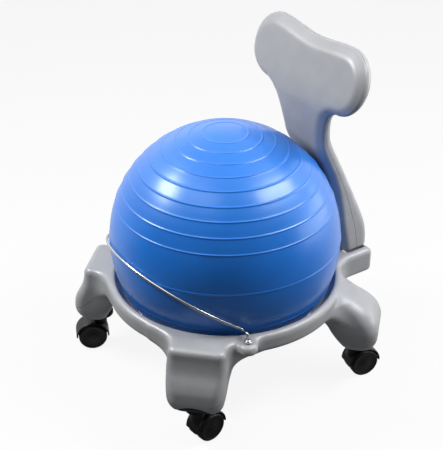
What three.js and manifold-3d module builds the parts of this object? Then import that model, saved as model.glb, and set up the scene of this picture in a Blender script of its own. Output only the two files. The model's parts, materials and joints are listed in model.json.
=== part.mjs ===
// Balance ball chair: an inflated ball held in a moulded base ring on four caster legs,
// with a wire retainer in front of the ball and a moulded backrest behind it.
// Millimetres. +Z is up, the sitter faces -Y, the backrest stands at +Y and the floor is z = 0.
import * as THREE from "three";
import { mergeVertices } from "three/addons/utils/BufferGeometryUtils.js";
import Module from "manifold-3d";

const wasm = await Module();
wasm.setup();

// Clearances and the overrun of cuts
const seatGap = 0.3; // between two still pieces that rest on each other
const turnGap = 0.5; // between a turning piece and what carries it
const cutOverrun = 2;

// Ball
const ballRadius = 190;
const ballWall = 2;
const ballCentreRise = 71; // from the top of the base ring to the ball's centre
const ballSeatGap = 0.7;
const ballSides = 48;
const ballOuterBands = 16;
const ballInnerBands = 8;

// Valve plug in the ball's lowest point
const valveBoreRadius = 5;
const plugHeadRadius = 9;
const plugHeadThickness = 1.5;
const plugLength = 9;

// Casters, seen from the stem: the wheels trail behind it
const wheelRadius = 25;
const wheelInnerFace = 4; // from the caster's middle plane
const wheelInnerChamfer = 1;
const wheelTreadWidth = 12;
const wheelShoulder = 2.5; // rounding between the tread and the outer disc
const wheelDome = 1.5;
const wheelBoreDepth = 10;
const axleRadius = 3;
const casterTrail = 17;
const casterHeight = 65; // floor to the underside of the end cap
const hoodRadius = 29;
const hoodWall = 2.8;
const hoodHalfWidth = 17;
const hoodWebThickness = 7;
const hubRadius = 7.5;
const stemRadius = 5.5;
const stemEngagement = 15; // length of the stem inside the hood
const bossRadius = 9.5;
const bossRise = 12; // from the axle to the boss's lowest point
const grooveDepth = 1.1;
const gripRingHeight = 4;
const gripRingFromTop = 5;
const gripRingSplit = 2;
const smallSides = 12;
const wheelSides = 20;

// Headings of the casters in the photograph: the direction from the stem to the wheels, in degrees
const casterHeadingAngles = {
  front_left: 98,
  front_right: 245,
  rear_left: 80,
  rear_right: 120,
};

// End cap of a leg, with the sleeve that takes the caster's stem
const capThickness = 5.7;
const capChamfer = 1;
const capRadius = 21.5;
const sleeveRadius = 9.5;
const sleeveLength = 30;

// Base ring
const ringGap = 7.8; // from the ball to the ring's inner edge
const ringWidth = 13;
const ringHeight = 32;
const ringOuterRounding = 6;
const ringInnerRounding = 2.5;
const seatHeight = 7.5;

// Legs
const legHeight = 111; // underside of a leg to the top of the ring
const frontLegReach = 62; // from the ring's outer wall
const rearLegReach = 68;
const legHalfWidth = 47;
const legAngles = { front_left: -45, front_right: -135, rear_left: 45, rear_right: 135 };
const stemReach = 25; // from the ring's outer wall to the caster's stem
const flareSteps = 5;
const cornerSteps = 3;

// Lugs that carry the retainer's ends
const lugAngle = 24.1; // forward of the X axis, in degrees
const lugReach = 27;
const lugHalfWidth = 16;
const lugHeight = 17;
const lugScrewReach = 11.1;

// Retainer wire
const wireRadius = 2.2;
const wireSlopeAngle = 34; // of the plane that the wire lies in, in degrees
const wireHingeRise = 14; // from the ring's top to the plane at the lugs
const wireEndInset = 20; // from the screw inwards to the end of the arc
const wireEndDrop = 4.5;
const wireBallGap = 1;
const wireKneeBend = 4;
const wireSteps = 44;
const wireSides = 8;
const eyeRadius = 6;
const eyeThickness = 3.4;

// Screws and their threaded inserts
const screwRadius = 2.4;
const screwHeadRadius = 4.8;
const screwHeadHeight = 2.8;
const screwEndGap = 1; // from the screw's end to the end of its insert
const socketRadius = 1.9; // of the hexagonal drive
const insertRadius = 4;
const insertLength = 11;
const threadGap = 0.3;

// Bracket with the slot that takes the backrest
const bracketSideWall = 14;
const bracketDepth = 56; // from the ring's outer wall to the rear face
const bracketHeight = 36;
const bracketRounding = 6;
const bracketCorner = 9;
const slotHalfWidth = 71;
const slotFromRing = 7.5;
const slotRearWall = 5;
const slotCorner = 4;

// Backrest
const backrestFootGap = 2; // from the bracket's top to the foot
const backrestHeight = 388;
const footDepth = 50;
const footHalfWidth = 69;
const postClearance = 3.2; // from the ball
const headLean = 68; // how far the head's front stands ahead of the slot's front wall
const headThickness = 26;
const backrestRim = 14; // width of the rounding along the edge
const lobeRadius = 53;
const lobeSpread = 89; // from the middle to the centre of a lobe
const headDip = 7; // of the top edge, between the lobes
const tongueHalfWidth = 45;
const tongueDepth = 14;
const tongueLength = 44; // below the foot
const tongueRoot = 14; // inside the foot
const tongueScrewSpread = 25;
const tongueScrewDrop = 20; // from the top of the ring
const lobeSteps = 12;
const dipSteps = 6;

// Worked out from the sizes above
const legUnderZ = casterHeight + capThickness + seatGap;
const ringTopZ = legUnderZ + legHeight;
const ringUnderZ = ringTopZ - ringHeight;
const ballCentreZ = ringTopZ + ballCentreRise;
const ringInnerRadius = ballReach(ringTopZ) + ringGap;
const ringOuterRadius = ringInnerRadius + ringWidth;
const ringMiddleRadius = ringInnerRadius + ringWidth / 2;
const stemFromAxis = ringOuterRadius + stemReach;
const lugScrewRadius = ringOuterRadius + lugScrewReach;
const lugX = lugScrewRadius * Math.cos(radians(lugAngle));
const lugY = -lugScrewRadius * Math.sin(radians(lugAngle));
const bracketHalfWidth = slotHalfWidth + bracketSideWall;
const bracketRearY = ringOuterRadius + bracketDepth;
const slotFrontY = ringOuterRadius + slotFromRing;
const slotRearY = bracketRearY - slotRearWall;
const bracketUnderZ = ringTopZ - bracketHeight;
const tongueFrontY = slotFrontY + seatGap;
const backrestFootZ = ringTopZ + backrestFootGap;
const backrestTopZ = backrestFootZ + backrestHeight;
const lobeCentreZ = backrestTopZ - lobeRadius;
const backScrewZ = ringTopZ - tongueScrewDrop;
const stemUnderZ = casterHeight - turnGap - stemEngagement;
const sleeveTopZ = casterHeight + capThickness + sleeveLength;
const stemTopZ = sleeveTopZ - seatGap;
const sleeveBore = stemRadius + turnGap;
const gripRingTopZ = stemTopZ - gripRingFromTop;

function radians(degrees) {
  return THREE.MathUtils.degToRad(degrees);
}

// Horizontal reach of the ball, grown by a gap, at a height
function ballReach(z, gap = 0) {
  return Math.sqrt(Math.max(0, (ballRadius + gap) ** 2 - (ballCentreZ - z) ** 2));
}

// A three.js geometry as a solid that can be joined and cut
function solidOf(geometry) {
  const bare = new THREE.BufferGeometry();
  bare.setAttribute("position", geometry.getAttribute("position"));
  bare.setIndex(geometry.getIndex());
  const merged = mergeVertices(bare);
  return new wasm.Manifold(
    new wasm.Mesh({
      numProp: 3,
      vertProperties: merged.getAttribute("position").array,
      triVerts: new Uint32Array(merged.getIndex().array),
    }),
  );
}

// A solid as a three.js geometry
function geometryOf(solid) {
  const { numProp, vertProperties, triVerts } = solid.getMesh();
  const geometry = new THREE.BufferGeometry();
  geometry.setAttribute("position", new THREE.BufferAttribute(vertProperties, numProp));
  geometry.setIndex(new THREE.BufferAttribute(triVerts, 1));
  geometry.computeVertexNormals();
  return geometry;
}

// An upright round body from a list of [radius, z], anticlockwise with the radius to the right
function lathe(profile, sides) {
  const points = profile.map(([radius, z]) => new THREE.Vector2(radius, z));
  return new THREE.LatheGeometry(points, sides).rotateX(Math.PI / 2);
}

// An upright cylinder between two heights
function upright(radius, lowZ, highZ, sides = smallSides) {
  const profile = [
    [0, lowZ],
    [radius, lowZ],
    [radius, highZ],
    [0, highZ],
  ];
  return lathe(profile, sides);
}

// A quarter arc of [radius, z] points about a centre, between two angles in degrees
function arc(centreRadius, centreZ, radius, fromAngle, toAngle, steps) {
  return Array.from({ length: steps + 1 }, (_, i) => {
    const angle = radians(THREE.MathUtils.lerp(fromAngle, toAngle, i / steps));
    return [centreRadius + radius * Math.cos(angle), centreZ + radius * Math.sin(angle)];
  });
}

// A closed solid through a stack of level outlines, each with as many points, anticlockwise seen
// from above, the lowest first
function loft(outlines) {
  const count = outlines[0].length;
  const positions = outlines.flat().flatMap((point) => point.toArray());
  const faces = [];
  for (let level = 1; level < outlines.length; level += 1) {
    for (let i = 0; i < count; i += 1) {
      const next = (i + 1) % count;
      const low = (level - 1) * count;
      const high = level * count;
      faces.push(low + i, low + next, high + next);
      faces.push(low + i, high + next, high + i);
    }
  }
  const flat = (outline) => outline.map((point) => new THREE.Vector2(point.x, point.y));
  const last = (outlines.length - 1) * count;
  for (const [a, b, c] of THREE.ShapeUtils.triangulateShape(flat(outlines[0]), [])) {
    faces.push(a, c, b);
  }
  for (const [a, b, c] of THREE.ShapeUtils.triangulateShape(flat(outlines.at(-1)), [])) {
    faces.push(last + a, last + b, last + c);
  }
  const geometry = new THREE.BufferGeometry();
  geometry.setAttribute("position", new THREE.Float32BufferAttribute(positions, 3));
  geometry.setIndex(faces);
  return geometry;
}

// A table of rows [height, value, ...] read at a height, straight between its rows
function readTable(table, height) {
  const last = table.length - 1;
  const clamped = THREE.MathUtils.clamp(height, table[0][0], table[last][0]);
  let row = 0;
  while (row < last - 1 && table[row + 1][0] < clamped) {
    row += 1;
  }
  const share = (clamped - table[row][0]) / (table[row + 1][0] - table[row][0]);
  return table[row].slice(1).map((value, k) => {
    return THREE.MathUtils.lerp(value, table[row + 1][k + 1], share);
  });
}

// Ball: a hollow sphere with the valve's bore at its lowest point
function ballGeometry() {
  const inner = ballRadius - ballWall;
  const outerStart = -90 + THREE.MathUtils.radToDeg(Math.asin(valveBoreRadius / ballRadius));
  const innerStart = -90 + THREE.MathUtils.radToDeg(Math.asin(valveBoreRadius / inner));
  const outside = arc(0, ballCentreZ, ballRadius, outerStart, 90, ballOuterBands);
  const inside = arc(0, ballCentreZ, inner, 90, innerStart, ballInnerBands);
  outside[ballOuterBands][0] = 0;
  inside[0][0] = 0;
  return lathe([...outside, ...inside, outside[0]], ballSides);
}

function ballPlugGeometry() {
  const headTop = ballCentreZ - ballRadius - seatGap;
  const headUnder = headTop - plugHeadThickness;
  const shank = valveBoreRadius - seatGap;
  const profile = [
    [0, headUnder],
    [plugHeadRadius, headUnder],
    [plugHeadRadius, headTop],
    [shank, headTop],
    [shank, headTop + plugLength],
    [0, headTop + plugLength],
  ];
  return lathe(profile, smallSides);
}

// Base ring: a rounded band whose inside opens from the ball's seat to the top edge
function ringSolid() {
  const seatTopZ = ringUnderZ + seatHeight;
  const seatTopRadius = ballReach(seatTopZ, ballSeatGap);
  const edgeZ = ringTopZ - ringInnerRounding;
  const innerWallShares = [
    [0.79, 0.58],
    [0.4, 0.14],
  ];
  const innerWall = innerWallShares.map(([radiusShare, heightShare]) => [
    THREE.MathUtils.lerp(seatTopRadius, ringInnerRadius, radiusShare),
    THREE.MathUtils.lerp(seatTopZ, edgeZ, heightShare),
  ]);
  const roundRadius = ringOuterRadius - ringOuterRounding;
  const profile = [
    [ballReach(ringUnderZ, ballSeatGap), ringUnderZ],
    ...arc(roundRadius, ringUnderZ + ringOuterRounding, ringOuterRounding, -90, 0, cornerSteps),
    ...arc(roundRadius, ringTopZ - ringOuterRounding, ringOuterRounding, 0, 90, cornerSteps),
    ...arc(ringInnerRadius + ringInnerRounding, edgeZ, ringInnerRounding, 90, 180, 2),
    ...innerWall,
    [seatTopRadius, seatTopZ],
    [ballReach((ringUnderZ + seatTopZ) / 2, ballSeatGap), (ringUnderZ + seatTopZ) / 2],
    [ballReach(ringUnderZ, ballSeatGap), ringUnderZ],
  ];
  return solidOf(lathe(profile, ballSides));
}

// One level outline of an arm that grows out of the ring along +X: straight sides that flare
// into the ring at the root and a round-cornered end
function armOutline({ z, inner, outer, half, root, corner }) {
  const side = [];
  for (let i = 0; i <= flareSteps; i += 1) {
    const share = i / flareSteps;
    const x = THREE.MathUtils.lerp(inner, outer - corner, share);
    side.push([x, half + (root - half) * (1 - share) ** 3]);
  }
  for (let i = 1; i <= cornerSteps; i += 1) {
    const angle = ((Math.PI / 2) * i) / cornerSteps;
    const reach = outer - corner + corner * Math.sin(angle);
    side.push([reach, half - corner + corner * Math.cos(angle)]);
  }
  const left = side.map(([x, y]) => new THREE.Vector3(x, y, z));
  const right = side.map(([x, y]) => new THREE.Vector3(x, -y, z));
  return [...right, ...left.reverse()];
}

function armSolid(levels, angle) {
  return solidOf(loft(levels.map(armOutline)).rotateZ(radians(angle)));
}

// Levels of a leg as shares: of its height, of its reach beyond the ring's wall for the inner and
// the outer end, and of its half width for the end, the root and the end's corners
const lowerLegShares = [
  [0, 0.15, 0.78, 0.7, 0.5, 0.42],
  [0.05, 0.11, 0.89, 0.84, 0.65, 0.45],
  [0.13, 0.05, 0.97, 0.94, 0.78, 0.45],
  [0.22, -0.05, 1, 0.98, 0.88, 0.42],
  [0.4, -0.2, 0.96, 1, 1, 0.4],
  [0.53, -0.27, 0.86, 1.01, 1.1, 0.36],
  [0.63, -0.31, 0.75, 1.02, 1.22, 0.32],
  [0.71, -0.33, 0.69, 1.02, 1.48, 0.3],
];
const frontLegShares = [
  ...lowerLegShares,
  [0.85, -0.2, 0.63, 0.99, 1.5, 0.28],
  [0.95, -0.15, 0.64, 0.97, 1.46, 0.28],
  [0.985, -0.13, 0.61, 0.92, 1.4, 0.28],
  [1, -0.12, 0.54, 0.8, 1.28, 0.28],
];
const rearLegShares = [
  ...lowerLegShares.slice(0, 4),
  [0.38, -0.18, 1, 1.01, 1, 0.45],
  [0.53, -0.27, 0.92, 1.02, 1.1, 0.48],
  [0.67, -0.31, 0.75, 1.02, 1.3, 0.52],
  [0.76, -0.2, 0.55, 1.02, 1.5, 0.5],
  [0.89, -0.15, 0.36, 1.04, 1.5, 0.36],
  [0.96, -0.12, 0.2, 1.02, 1.3, 0.2],
];

function legSolid(name) {
  const isFront = name.startsWith("front");
  const shares = isFront ? frontLegShares : rearLegShares;
  const reach = isFront ? frontLegReach : rearLegReach;
  const levels = shares.map(([height, inner, outer, half, root, corner]) => ({
    z: legUnderZ + height * legHeight,
    inner: ringOuterRadius + inner * reach,
    outer: ringOuterRadius + outer * reach,
    half: half * legHalfWidth,
    root: root * legHalfWidth,
    corner: corner * legHalfWidth,
  }));
  return armSolid(levels, legAngles[name]);
}

// Lug: a short flat arm, level with the ring's top
function lugSolid(angle) {
  const roundingShares = [
    [0, 0.2],
    [0.15, 0],
    [0.65, 0],
    [0.9, 0.12],
    [1, 0.4],
  ];
  const levels = roundingShares.map(([heightShare, insetShare]) => {
    const inset = insetShare * ringOuterRounding;
    const half = lugHalfWidth - inset;
    return {
      z: ringTopZ - lugHeight * (1 - heightShare),
      inner: ringMiddleRadius,
      outer: ringOuterRadius + lugReach - inset,
      half,
      root: 2 * lugHalfWidth - inset,
      corner: half,
    };
  });
  return armSolid(levels, angle);
}

// Bracket: a round-edged block behind the ring with a slot through it
function bracketSolid() {
  const block = new THREE.Shape();
  const left = -bracketHalfWidth;
  const right = bracketHalfWidth;
  block.moveTo(left, 0);
  block.lineTo(right, 0);
  block.lineTo(right, bracketRearY - bracketCorner);
  block.quadraticCurveTo(right, bracketRearY, right - bracketCorner, bracketRearY);
  block.lineTo(left + bracketCorner, bracketRearY);
  block.quadraticCurveTo(left, bracketRearY, left, bracketRearY - bracketCorner);
  const slot = new THREE.Path();
  slot.moveTo(-slotHalfWidth + slotCorner, slotFrontY);
  slot.lineTo(slotHalfWidth - slotCorner, slotFrontY);
  slot.quadraticCurveTo(slotHalfWidth, slotFrontY, slotHalfWidth, slotFrontY + slotCorner);
  slot.lineTo(slotHalfWidth, slotRearY - slotCorner);
  slot.quadraticCurveTo(slotHalfWidth, slotRearY, slotHalfWidth - slotCorner, slotRearY);
  slot.lineTo(-slotHalfWidth + slotCorner, slotRearY);
  slot.quadraticCurveTo(-slotHalfWidth, slotRearY, -slotHalfWidth, slotRearY - slotCorner);
  slot.lineTo(-slotHalfWidth, slotFrontY + slotCorner);
  slot.quadraticCurveTo(-slotHalfWidth, slotFrontY, -slotHalfWidth + slotCorner, slotFrontY);
  block.holes.push(slot);
  const bevel = Math.min(bracketRounding, slotRearWall / 2 - seatGap);
  const body = new THREE.ExtrudeGeometry(block, {
    depth: bracketHeight - 2 * bevel,
    bevelThickness: bevel,
    bevelSize: bevel,
    bevelOffset: -bevel,
    bevelSegments: 2,
    curveSegments: 3,
  });
  body.translate(0, 0, bracketUnderZ + bevel);
  const low = bracketUnderZ - cutOverrun;
  const core = solidOf(upright(ringMiddleRadius, low, ringTopZ + cutOverrun, ballSides));
  return solidOf(body).subtract(core);
}

// Base: ring, legs, lugs and bracket in one moulding, bored for the caster sleeves and inserts
function baseGeometry() {
  let base = ringSolid().add(bracketSolid());
  for (const name of Object.keys(legAngles)) {
    base = base.add(legSolid(name));
  }
  for (const angle of [-lugAngle, lugAngle - 180]) {
    base = base.add(lugSolid(angle));
  }
  const boreTopZ = sleeveTopZ + seatGap;
  const boreRadius = sleeveRadius + seatGap;
  for (const angle of Object.values(legAngles)) {
    const bore = upright(boreRadius, legUnderZ - cutOverrun, boreTopZ);
    const [x, y] = stemPlace(angle);
    base = base.subtract(solidOf(bore.translate(x, y, 0)));
  }
  const holeRadius = insertRadius + seatGap;
  const holeDepth = insertLength + 2 * seatGap;
  for (const side of [-1, 1]) {
    const lugHole = upright(holeRadius, ringTopZ - holeDepth, ringTopZ + cutOverrun);
    base = base.subtract(solidOf(lugHole.translate(side * lugX, lugY, 0)));
    const backHole = upright(holeRadius, -holeDepth, cutOverrun).rotateX(-Math.PI / 2);
    backHole.translate(side * tongueScrewSpread, slotFrontY, backScrewZ);
    base = base.subtract(solidOf(backHole));
  }
  return geometryOf(base);
}

function stemPlace(angle) {
  return [stemFromAxis * Math.cos(radians(angle)), stemFromAxis * Math.sin(radians(angle))];
}

// Fasteners, upright with the underside of the head at z = 0
function screwGeometry(clamped) {
  const length = clamped + insertLength - screwEndGap;
  const crownShares = [
    [1, 0.35],
    [0.8, 0.8],
    [0.5, 1],
  ];
  const crown = crownShares.map(([radiusShare, heightShare]) => [
    radiusShare * screwHeadRadius,
    heightShare * screwHeadHeight,
  ]);
  const profile = [
    [0, -length],
    [screwRadius, -length],
    [screwRadius, 0],
    [screwHeadRadius, 0],
    ...crown,
    [0, screwHeadHeight],
  ];
  const drive = upright(socketRadius, screwHeadHeight / 2, screwHeadHeight + cutOverrun, 6);
  return geometryOf(solidOf(lathe(profile, smallSides)).subtract(solidOf(drive)));
}

// Threaded insert, its mouth at z = 0
function insertGeometry() {
  const bore = screwRadius + threadGap;
  const profile = [
    [bore, -insertLength],
    [insertRadius, -insertLength],
    [insertRadius, 0],
    [bore, 0],
    [bore, -insertLength],
  ];
  return lathe(profile, smallSides);
}

// Retainer wire: an arc in a sloping plane in front of the ball, with a knee, a leg and a flat eye
// at each end
function wirePath() {
  const slope = radians(wireSlopeAngle);
  const hingeZ = ringTopZ + wireHingeRise;
  const inPlane = (x, q) => {
    return new THREE.Vector3(x, lugY - q * Math.cos(slope), hingeZ + q * Math.sin(slope));
  };
  const rise = ballCentreZ - hingeZ;
  const centreQ = lugY * Math.cos(slope) + rise * Math.sin(slope);
  const planeDistance = -lugY * Math.sin(slope) + rise * Math.cos(slope);
  const clear = ballRadius + wireBallGap + wireRadius;
  const frontQ = centreQ + Math.sqrt(clear ** 2 - planeDistance ** 2);
  const endX = lugX - wireEndInset;
  const height = frontQ + wireEndDrop;
  const radius = (height ** 2 + endX ** 2) / (2 * height);
  const sweep = Math.atan2(endX, radius - height);
  const arcPoints = 24;
  const middle = Array.from({ length: arcPoints + 1 }, (_, i) => {
    const angle = THREE.MathUtils.lerp(-sweep, sweep, i / arcPoints);
    return inPlane(radius * Math.sin(angle), frontQ - radius + radius * Math.cos(angle));
  });
  const kneeInset = screwHeadRadius + threadGap + wireRadius;
  const standing = (side, inset, z) => {
    const shrink = (lugScrewRadius - inset) / lugScrewRadius;
    return new THREE.Vector3(side * lugX * shrink, lugY * shrink, z);
  };
  const end = (side) => [
    standing(side, kneeInset, ringTopZ + seatGap),
    standing(side, kneeInset, hingeZ - 2 * wireKneeBend),
    standing(side, kneeInset + wireKneeBend / 2, hingeZ - wireKneeBend / 2),
  ];
  return new THREE.CatmullRomCurve3([...end(-1), ...middle, ...end(1).reverse()]);
}

function retainerGeometry() {
  const section = new THREE.Shape();
  for (let i = 0; i < wireSides; i += 1) {
    const angle = (2 * Math.PI * i) / wireSides;
    const place = [wireRadius * Math.cos(angle), wireRadius * Math.sin(angle)];
    if (i === 0) {
      section.moveTo(...place);
    } else {
      section.lineTo(...place);
    }
  }
  const wire = new THREE.ExtrudeGeometry(section, {
    steps: wireSteps,
    extrudePath: wirePath(),
    bevelEnabled: false,
  });
  let retainer = solidOf(wire);
  const underZ = ringTopZ + seatGap;
  for (const side of [-1, 1]) {
    const eye = upright(eyeRadius, underZ, underZ + eyeThickness);
    retainer = retainer.add(solidOf(eye.translate(side * lugX, lugY, 0)));
  }
  for (const side of [-1, 1]) {
    const bore = upright(screwRadius + threadGap, underZ - cutOverrun, ballCentreZ);
    retainer = retainer.subtract(solidOf(bore.translate(side * lugX, lugY, 0)));
  }
  return geometryOf(retainer);
}

// Half widths of the post and the neck as shares of the foot's, at shares of the height from the
// foot to the lobes
const postWidthShares = [
  [0, 0.88],
  [0.03, 0.97],
  [0.07, 1],
  [0.165, 0.95],
  [0.28, 0.87],
  [0.4, 0.8],
  [0.52, 0.765],
  [0.62, 0.755],
  [0.71, 0.765],
  [0.78, 0.79],
  [0.84, 0.835],
  [0.885, 0.885],
  [0.925, 0.95],
  [0.955, 1.02],
  [0.98, 1.12],
  [1, 1.29],
];

// At shares of the backrest's height: how far the front face leans, as a share of the head's lean,
// and how deep the section is, from 0 for the head's thickness to 1 for the foot's depth
const postSectionShares = [
  [0, 0.02, 0.78],
  [0.04, 0.085, 1.16],
  [0.12, 0.15, 1.24],
  [0.2, 0.166, 0.82],
  [0.29, 0.24, 0.4],
  [0.375, 0.41, 0.25],
  [0.45, 0.63, 0.27],
  [0.52, 0.82, 0.25],
  [0.61, 0.9, 0.06],
  [0.685, 0.955, 0],
  [0.725, 0.98, 0],
  [0.765, 0.965, 0],
  [0.815, 0.91, 0],
  [0.865, 0.82, 0],
  [0.93, 0.72, 0],
  [1, 0.59, 0],
];

// Columns of the backrest's faces: steps in from the edge as shares of its rounding, then shares
// of the width that is left
const rimShares = [0, 0.15, 0.45, 1];
const insideShares = [0.62, 0.3, 0];

// The right half of the backrest in rows, foot first: [half width, z at the edge, z in the middle]
function backrestRows() {
  const neckZ = lobeCentreZ - lobeRadius;
  const shoulderShare = 0.8;
  const rows = postWidthShares.map(([heightShare, widthShare]) => {
    const edgeZ = THREE.MathUtils.lerp(backrestFootZ, neckZ, heightShare);
    const sag = Math.max(0, heightShare - shoulderShare) * lobeRadius;
    return [widthShare * footHalfWidth, edgeZ, edgeZ - sag];
  });
  const [, , startZ] = rows.at(-1);
  for (let i = 1; i <= lobeSteps; i += 1) {
    const share = i / lobeSteps;
    const angle = Math.PI * (share - 0.5);
    const half = lobeSpread + lobeRadius * Math.cos(angle);
    const edgeZ = lobeCentreZ + lobeRadius * Math.sin(angle);
    rows.push([half, edgeZ, THREE.MathUtils.lerp(startZ, backrestTopZ - headDip, share)]);
  }
  return rows;
}

// Height of a row at a share of its half width: its edge's height, easing to its middle's
function rowZ([, edgeZ, middleZ], widthShare) {
  const ease = (1 + Math.cos(Math.PI * widthShare)) / 2;
  return THREE.MathUtils.lerp(edgeZ, middleZ, ease);
}

// Distance of a point from the closed outline of the backrest's front view
function edgeDistance(outline, x, z) {
  const point = new THREE.Vector3(x, z, 0);
  const nearest = new THREE.Vector3();
  return outline.reduce((least, from, i) => {
    const segment = new THREE.Line3(from, outline[(i + 1) % outline.length]);
    segment.closestPointToPoint(point, true, nearest);
    return Math.min(least, nearest.distanceTo(point));
  }, Infinity);
}

// Front, rear and parting line of the backrest at a height and a distance in from its edge
function backrestFaces(z, distance) {
  const [leanShare, depthShare] = readTable(postSectionShares, (z - backrestFootZ) / backrestHeight);
  const leaning = tongueFrontY - leanShare * headLean;
  const frontY = Math.max(leaning, ballReach(z, postClearance));
  const depth = THREE.MathUtils.lerp(headThickness, footDepth, depthShare);
  const parting = frontY + depth / 2;
  const inset = Math.min(1, distance / backrestRim);
  const swell = Math.cbrt(1 - (1 - inset) ** 3) * (depth / 2);
  return { frontY: parting - swell, rearY: parting + swell, parting };
}

// The places across a row of the backrest, from its right edge to its left
function rowColumns(half) {
  const rim = rimShares.map((share) => half - share * backrestRim);
  const right = [...rim, ...insideShares.map((share) => share * rim.at(-1))];
  const left = right.slice(0, -1).map((x) => -x);
  return [...right, ...left.reverse()];
}

// Outline of the backrest's front view, from the foot's right corner round to its left corner
function backrestOutline(rows) {
  const top = rows.at(-1);
  const right = rows.map(([half, edgeZ]) => new THREE.Vector3(half, edgeZ, 0));
  const left = rows.map(([half, edgeZ]) => new THREE.Vector3(-half, edgeZ, 0));
  const dip = Array.from({ length: 2 * dipSteps - 1 }, (_, i) => {
    const widthShare = 1 - (i + 1) / dipSteps;
    return new THREE.Vector3(widthShare * top[0], rowZ(top, widthShare), 0);
  });
  return [...right, ...dip, ...left.reverse()];
}

// Backrest's plate and post: front and rear faces that meet in the edge of the front view
function backrestSolid() {
  const rows = backrestRows();
  const outline = backrestOutline(rows);
  const positions = [];
  const front = [];
  const rear = [];
  rows.forEach((row, i) => {
    const [half] = row;
    const isEndRow = i === 0 || i === rows.length - 1;
    const frontRow = [];
    const rearRow = [];
    for (const x of rowColumns(half)) {
      const z = rowZ(row, x / half);
      const isEdge = isEndRow || Math.abs(x) === half;
      const distance = isEdge ? 0 : edgeDistance(outline, x, z);
      const { frontY, rearY, parting } = backrestFaces(z, distance);
      const index = positions.length / 3;
      frontRow.push(index);
      if (isEdge) {
        positions.push(x, parting, z);
        rearRow.push(index);
      } else {
        positions.push(x, frontY, z, x, rearY, z);
        rearRow.push(index + 1);
      }
    }
    front.push(frontRow);
    rear.push(rearRow);
  });
  const faces = [];
  for (let i = 1; i < rows.length; i += 1) {
    for (let k = 1; k < front[0].length; k += 1) {
      quad(faces, front[i - 1][k - 1], front[i][k - 1], front[i][k], front[i - 1][k]);
      quad(faces, rear[i - 1][k - 1], rear[i - 1][k], rear[i][k], rear[i][k - 1]);
    }
  }
  const geometry = new THREE.BufferGeometry();
  geometry.setAttribute("position", new THREE.Float32BufferAttribute(positions, 3));
  geometry.setIndex(faces);
  return solidOf(geometry);
}

function quad(faces, a, b, c, d) {
  faces.push(a, b, c, a, c, d);
}

function backrestGeometry() {
  const length = tongueLength + tongueRoot;
  const tongue = new THREE.BoxGeometry(2 * tongueHalfWidth, tongueDepth, length);
  tongue.translate(0, tongueFrontY + tongueDepth / 2, backrestFootZ + tongueRoot - length / 2);
  let backrest = backrestSolid().add(solidOf(tongue));
  for (const side of [-1, 1]) {
    const bore = upright(screwRadius + threadGap, -cutOverrun, tongueDepth + cutOverrun);
    bore.rotateX(-Math.PI / 2);
    bore.translate(side * tongueScrewSpread, tongueFrontY, backScrewZ);
    backrest = backrest.subtract(solidOf(bore));
  }
  return geometryOf(backrest);
}

// Caster pieces, in the caster's own frame: the stem stands at x = 0 and the wheels trail at +X
function endCapGeometry() {
  const capTopZ = casterHeight + capThickness;
  const profile = [
    [sleeveBore, casterHeight],
    [capRadius - capChamfer, casterHeight],
    [capRadius, casterHeight + capChamfer],
    [capRadius, capTopZ],
    [sleeveRadius, capTopZ],
    [sleeveRadius, sleeveTopZ],
    [sleeveBore, sleeveTopZ],
    [sleeveBore, casterHeight],
  ];
  return lathe(profile, smallSides);
}

function gripRingGeometry() {
  const inner = stemRadius - grooveDepth + seatGap;
  const outer = sleeveBore - seatGap;
  const lowZ = gripRingTopZ - gripRingHeight;
  const profile = [
    [inner, lowZ],
    [outer, lowZ],
    [outer, gripRingTopZ],
    [inner, gripRingTopZ],
    [inner, lowZ],
  ];
  const split = new THREE.BoxGeometry(2 * outer, gripRingSplit, 2 * gripRingHeight);
  split.translate(outer, 0, gripRingTopZ - gripRingHeight / 2);
  return geometryOf(solidOf(lathe(profile, smallSides)).subtract(solidOf(split)));
}

function stemGeometry() {
  const groove = stemRadius - grooveDepth;
  const grooveLowZ = gripRingTopZ - gripRingHeight - seatGap;
  const grooveTopZ = gripRingTopZ + seatGap;
  const profile = [
    [0, stemUnderZ],
    [stemRadius, stemUnderZ],
    [stemRadius, grooveLowZ],
    [groove, grooveLowZ],
    [groove, grooveTopZ],
    [stemRadius, grooveTopZ],
    [stemRadius, stemTopZ - grooveDepth],
    [groove, stemTopZ],
    [0, stemTopZ],
  ];
  return lathe(profile, smallSides);
}

// A cylinder that lies across the caster, on the wheels' axis
function across(radius, fromY, toY, sides = wheelSides) {
  const cylinder = new THREE.CylinderGeometry(radius, radius, toY - fromY, sides);
  return solidOf(cylinder.translate(casterTrail, (fromY + toY) / 2, wheelRadius));
}

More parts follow.
